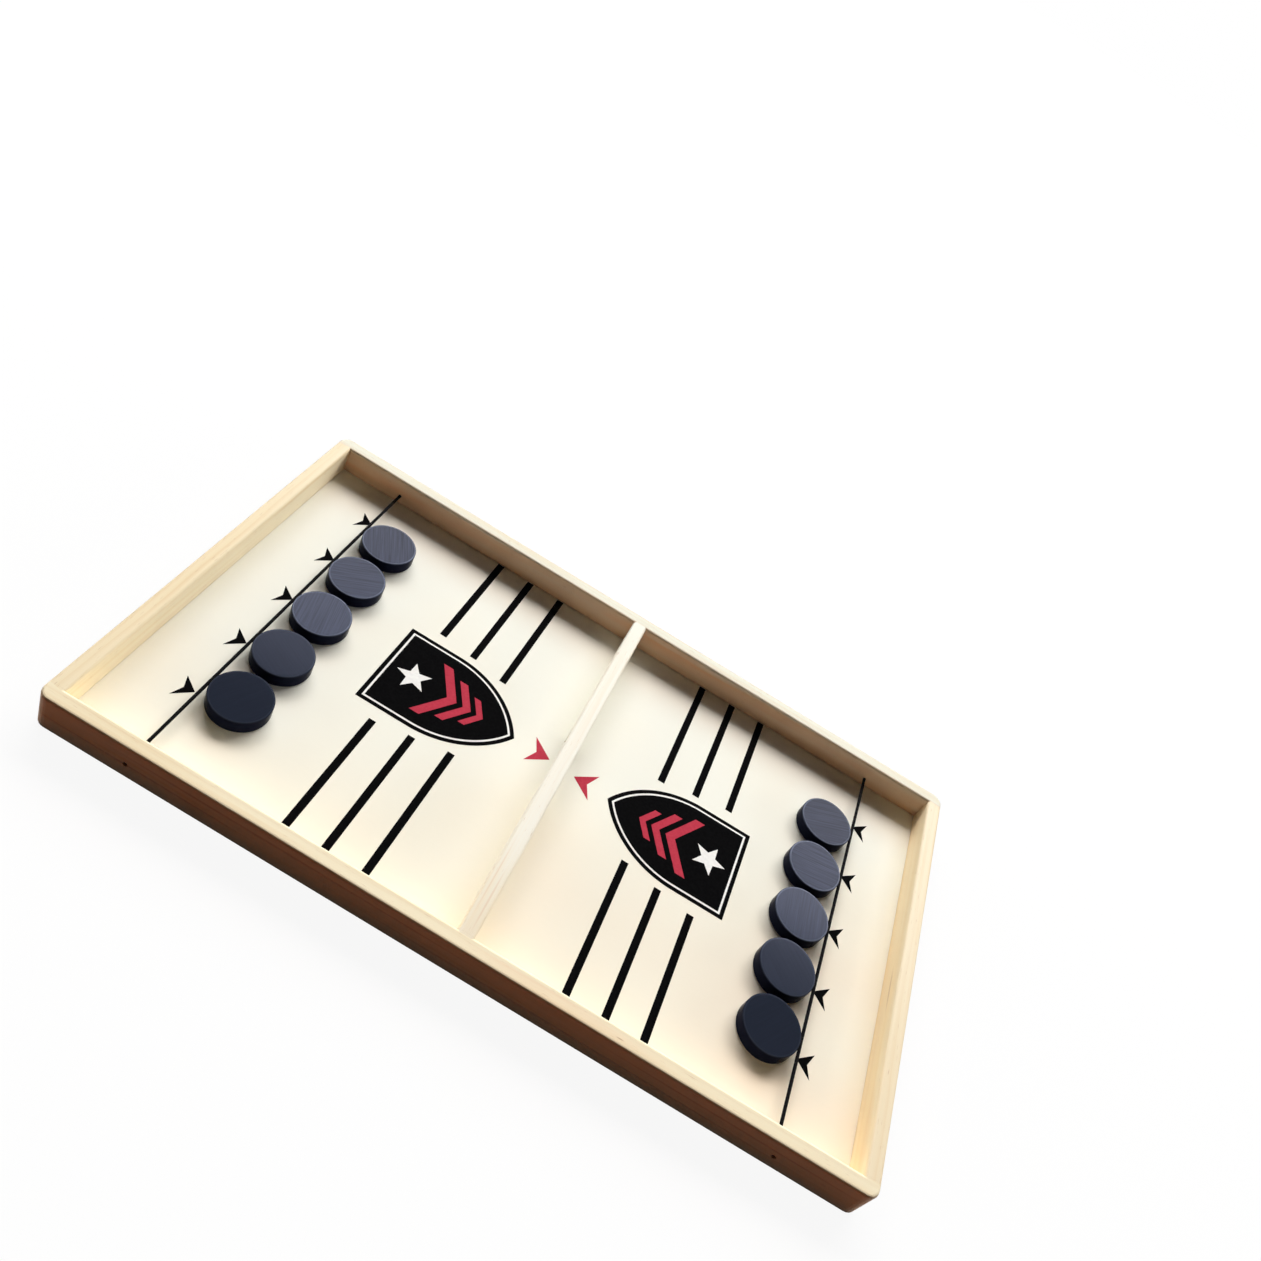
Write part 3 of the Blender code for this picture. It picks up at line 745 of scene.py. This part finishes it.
def turnedPuck(low, high, sawing, finish):
    grainTurn, sawnShare, polishShare = sawing
    middle = (low + high) / 2
    radius = (high.x - low.x) / 2
    rim = finish["rim"] * mm
    rimHighlightWidth = finish["rimHighlightRims"] * rim
    rimSteps = finish["rimSteps"]
    # from the middle of the upper face to that of the lower one: radius, height, painted rim highlight, how
    # flat
    profile = [(r, high.z, 0.0, 1.0) for r in (0.0, radius * finish["ringShare"], radius - rimHighlightWidth)]
    for i in range(rimSteps + 1):
        angle = math.radians(90 - 90 * i / rimSteps)
        profile.append((radius - rim + rim * math.cos(angle), high.z - rim + rim * math.sin(angle),
                        1.0 - i / rimSteps, 1.0 - i / rimSteps))
    profile.append((radius, high.z - rimHighlightWidth, 0.0, 0.0))
    profile += [(r, low.z + high.z - z, 0.0, evenness) for r, z, _, evenness in reversed(profile)]

    shape = bmesh.new()
    worn, sawn, flat, polish = [shape.verts.layers.float.new(name) for name in finish["shades"]]
    rings = []
    for r, z, rimHighlighting, evenness in profile:
        count = finish["sides"] if r else 1
        ring = [shape.verts.new((middle.x + r * math.cos(2 * math.pi * i / count),
                                 middle.y + r * math.sin(2 * math.pi * i / count), z)) for i in range(count)]
        for vert in ring:
            vert[worn], vert[sawn] = rimHighlighting * sawnShare, sawnShare
            vert[flat], vert[polish] = evenness, evenness * polishShare
        rings.append(ring)
    for upper, lower in zip(rings, rings[1:]):
        for i in range(finish["sides"]):
            corners = []
            for ring, index in ((upper, i), (lower, i), (lower, i + 1), (upper, i + 1)):
                vert = ring[index % len(ring)]
                if vert not in corners:
                    corners.append(vert)
            shape.faces.new(corners)
    bmesh.ops.recalc_face_normals(shape, faces=shape.faces)

    # The grain runs one way over the whole puck: UV in mm, turned, and shifted so that no two are alike
    layer = shape.loops.layers.uv.new("grain")
    turn = math.radians(grainTurn)
    shiftU, shiftV = finish["grainShift"]
    for face in shape.faces:
        for loop in face.loops:
            x, y = (loop.vert.co.x - middle.x) / mm, (loop.vert.co.y - middle.y) / mm
            u = x * math.cos(turn) + y * math.sin(turn) + shiftU * grainTurn
            v = y * math.cos(turn) - x * math.sin(turn) + shiftV * grainTurn + loop.vert.co.z / mm
            loop[layer].uv = (u, v)
    return shape


lacquer = satinLacquer(puckFinish)
puckBodies = sorted(body for body in frame["bodies"] if "_puck_" in body)
for bodyName, sawing in zip(puckBodies, puckFinish["sawing"]):
    side, _, number = bodyName.split("_")
    nodeName = f"puck_{side}_{number}"
    shape = turnedPuck(*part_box(nodeName), sawing, puckFinish)
    piece = addPiece("turned_" + nodeName, shape, lacquer, bodyName, smoothUnder=35)
    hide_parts(nodeName)
print("pucks turned")


# Elastic slings: a black braided sleeve over rubber. It gives the eye a matt, slightly knobbly line. The
# braid is drawn a little coarser than life, so that it shows.
slingFinish = {
    "black": ("#040405", "#0e0e10"),
    "strands": 8,                # across the sleeve, each way round
    "lay": 1.4,                  # mm along the cord for one strand's crossing
    "strandHeight": 0.05,        # mm
    "under": 0.55,               # height of a strand where it passes under, as a share of its full height
    "threads": (60.0, 12.0),     # round the sleeve, and per mm along it
    "relief": (0.3, 0.03),       # the threads' strength, and their height in mm
    "sides": 32,
    "step": 0.35,                # mm between rings
    "shader": {"Roughness": 0.7, "Specular IOR Level": 0.05, "Sheen Weight": 0.05, "Sheen Roughness": 0.4},
}


def braidedSleeve(finish):
    made, tree, shader = newMaterial("blackBraidedPolyester", finish["shader"])
    unwrapped = addNode(tree, "ShaderNodeTexCoord").outputs["UV"]
    fine = addNode(tree, "ShaderNodeMapping", {"Scale": (*finish["threads"], 1.0)}, {"Vector": unwrapped})
    threads = addNode(tree, "ShaderNodeTexNoise", {"Scale": 1.0, "Detail": 2.0}, {"Vector": fine})
    deep, light = finish["black"]
    tone = addNode(tree, "ShaderNodeValToRGB", {"stops": [(0.3, deep), (0.75, light)]},
                   {"Fac": threads.outputs["Fac"]})
    tree.links.new(tone.outputs["Color"], shader.inputs["Base Color"])
    depth, height = finish["relief"]
    bump = addNode(tree, "ShaderNodeBump", {"Strength": depth, "Distance": height * mm},
                   {"Height": threads.outputs["Fac"]})
    tree.links.new(bump.outputs["Normal"], shader.inputs["Normal"])
    return made


# How high the braid stands at a place: two sets of strands wind round the sleeve and pass over each other
def braidHeight(turnShare, along, finish):
    a = turnShare * finish["strands"] + along / finish["lay"]
    b = turnShare * finish["strands"] - along / finish["lay"]
    ridgeA, ridgeB = abs(math.sin(math.pi * a)), abs(math.sin(math.pi * b))
    over = (math.floor(a) + math.floor(b)) % 2
    under = finish["under"]
    return max(ridgeA * (1.0 if over else under), ridgeB * (under if over else 1.0))


def halfSling(low, high, way, finish):
    centreX, centreZ = (low.x + high.x) / 2, (low.z + high.z) / 2
    radius = (high.x - low.x) / 2
    end = high.y
    steps = math.ceil(end / (finish["step"] * mm))
    shape = bmesh.new()
    layer = shape.loops.layers.uv.new("braid")
    rings = []
    for i in range(steps + 1):
        y = end * i / steps
        ring = []
        for k in range(finish["sides"]):
            share = k / finish["sides"]
            r = radius - finish["strandHeight"] * mm * (1.0 - braidHeight(share, way * y / mm, finish))
            angle = 2 * math.pi * share
            place = (centreX + r * math.cos(angle), way * y, centreZ + r * math.sin(angle))
            ring.append(shape.verts.new(place))
        rings.append(ring)
    for i in range(steps):
        for k in range(finish["sides"]):
            j = (k + 1) % finish["sides"]
            face = shape.faces.new((rings[i][k], rings[i][j], rings[i + 1][j], rings[i + 1][k]))
            for loop, share, station in zip(face.loops, (k, k + 1, k + 1, k), (i, i, i + 1, i + 1)):
                loop[layer].uv = (share / finish["sides"], end * station / steps / mm)
    shape.faces.new(rings[0])
    shape.faces.new(rings[-1])
    bmesh.ops.recalc_face_normals(shape, faces=shape.faces)
    return shape


# Each sling is two halves, each from a rail to the middle; its ends stay in the rails
sleeve = braidedSleeve(slingFinish)
for side in ("left", "right"):
    nodeName = "sling_cord_" + side
    low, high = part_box(nodeName)
    for halfName, way in (("near", -1), ("far", 1)):
        shape = halfSling(low, high, way, slingFinish)
        piece = addPiece(f"braided_sling_{side}_{halfName}", shape, sleeve, smoothUnder=60)
        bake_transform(piece)
        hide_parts(nodeName)
print("slings braided")


# Stage: a floor that is seen white and throws a warm light back, a broad soft lamp beyond the far rail with a
# dimmer, cooler one under it, a weak soft lamp at each end, and a dim warm room. Only the broad lamp shows as
# a reflection, because the others would turn the pucks' lacquer white where it is seen from low down.
studio = {
    "floorSize": 6.0,            # m
    "floorSeen": "#515151",
    "floorBounce": "#8e4d2a",
    "floorGlow": 0.92,
    "lamps": {                   # place (m), size across and up (m), power (W), colour, reflected
        "softboxBeyond": ((-0.3, 2.99, 2.66), (5.6, 1.22), 218.0, "#fff6f2", True),
        "softboxUnder": ((-0.3, 3.58, 1.785), (5.6, 0.91), 106.0, "#d5f4ff", False),
        "stripLeft": ((-3.9, 1.3, 0.9), (2.4, 0.9), 34.0, "#ffffff", False),
        "stripRight": ((3.9, 1.3, 0.9), (2.4, 0.9), 49.0, "#ffffff", False),
    },
    "room": "#ffcfa6",
    "worldFar": 0.04,            # strength of the room beyond the far rail
    "worldNear": 0.01,           # strength behind the camera
}


# One where a ray comes from the camera, a glossy surface or glass, so that these see a white surrounding
def seenShare(tree):
    rays = addNode(tree, "ShaderNodeLightPath")
    glossy = addNode(tree, "ShaderNodeMath", {"operation": "MAXIMUM"},
                     {0: rays.outputs["Is Camera Ray"], 1: rays.outputs["Is Glossy Ray"]})
    return addNode(tree, "ShaderNodeMath", {"operation": "MAXIMUM"},
                   {0: glossy, 1: rays.outputs["Is Transmission Ray"]})


def makeStage(setup):
    half = setup["floorSize"] / 2
    mesh = bpy.data.meshes.new("paleFloor")
    corners = [(-half, -half, 0.0), (half, -half, 0.0), (half, half, 0.0), (-half, half, 0.0)]
    mesh.from_pydata(corners, [], [(0, 1, 2, 3)])
    table = bpy.data.objects.new("paleFloor", mesh)
    bpy.context.scene.collection.objects.link(table)
    made, tree, shader = newMaterial("whiteSweep", {"Roughness": 0.9, "Specular IOR Level": 0.0})
    seen = seenShare(tree)
    colour = addNode(tree, "ShaderNodeMix", {**colourMix, first: paint(setup["floorBounce"]),
                                             second: paint(setup["floorSeen"])}, {0: seen})
    tree.links.new(colour.outputs[mixed], shader.inputs["Base Color"])
    glow = addNode(tree, "ShaderNodeMath", {"operation": "MULTIPLY", 1: setup["floorGlow"]}, {0: seen})
    emission = addNode(tree, "ShaderNodeEmission", {"Color": paint("#ffffff")}, {"Strength": glow})
    both = addNode(tree, "ShaderNodeAddShader", None, {0: shader, 1: emission})
    tree.links.new(both.outputs[0], tree.nodes["Material Output"].inputs["Surface"])
    mesh.materials.append(made)


def makeLight(setup):
    for name, (place, size, power, colour, reflected) in setup["lamps"].items():
        data = bpy.data.lights.new(name, "AREA")
        data.shape = "RECTANGLE"
        data.size, data.size_y = size
        data.energy = power
        data.color = paint(colour)[:3]
        lamp = bpy.data.objects.new(name, data)
        bpy.context.scene.collection.objects.link(lamp)
        lamp.location = place
        lamp.rotation_euler = Vector(place).to_track_quat("Z", "Y").to_euler()
        lamp.visible_camera = False
        lamp.visible_glossy = reflected

    world = bpy.data.worlds.new("studio")
    bpy.context.scene.world = world
    world.use_nodes = True
    tree = world.node_tree
    tree.nodes.clear()
    way = addNode(tree, "ShaderNodeTexCoord").outputs["Generated"]
    parts = addNode(tree, "ShaderNodeSeparateXYZ", None, {"Vector": way})
    level = addNode(tree, "ShaderNodeMapRange", {
        "interpolation_type": "SMOOTHSTEP", "From Min": -0.25, "From Max": 0.75,
        "To Min": setup["worldNear"], "To Max": setup["worldFar"]}, {"Value": parts.outputs["Y"]})
    lit = addNode(tree, "ShaderNodeBackground", {"Color": paint(setup["room"])}, {"Strength": level})
    white = addNode(tree, "ShaderNodeBackground", {"Color": paint("#ffffff"), "Strength": 1.0})
    chosen = addNode(tree, "ShaderNodeMixShader", None, {0: seenShare(tree), 1: lit, 2: white})
    addNode(tree, "ShaderNodeOutputWorld", None, {"Surface": chosen})


makeStage(studio)
makeLight(studio)
bpy.context.scene.view_settings.view_transform = "Standard"
print("stage and light set")
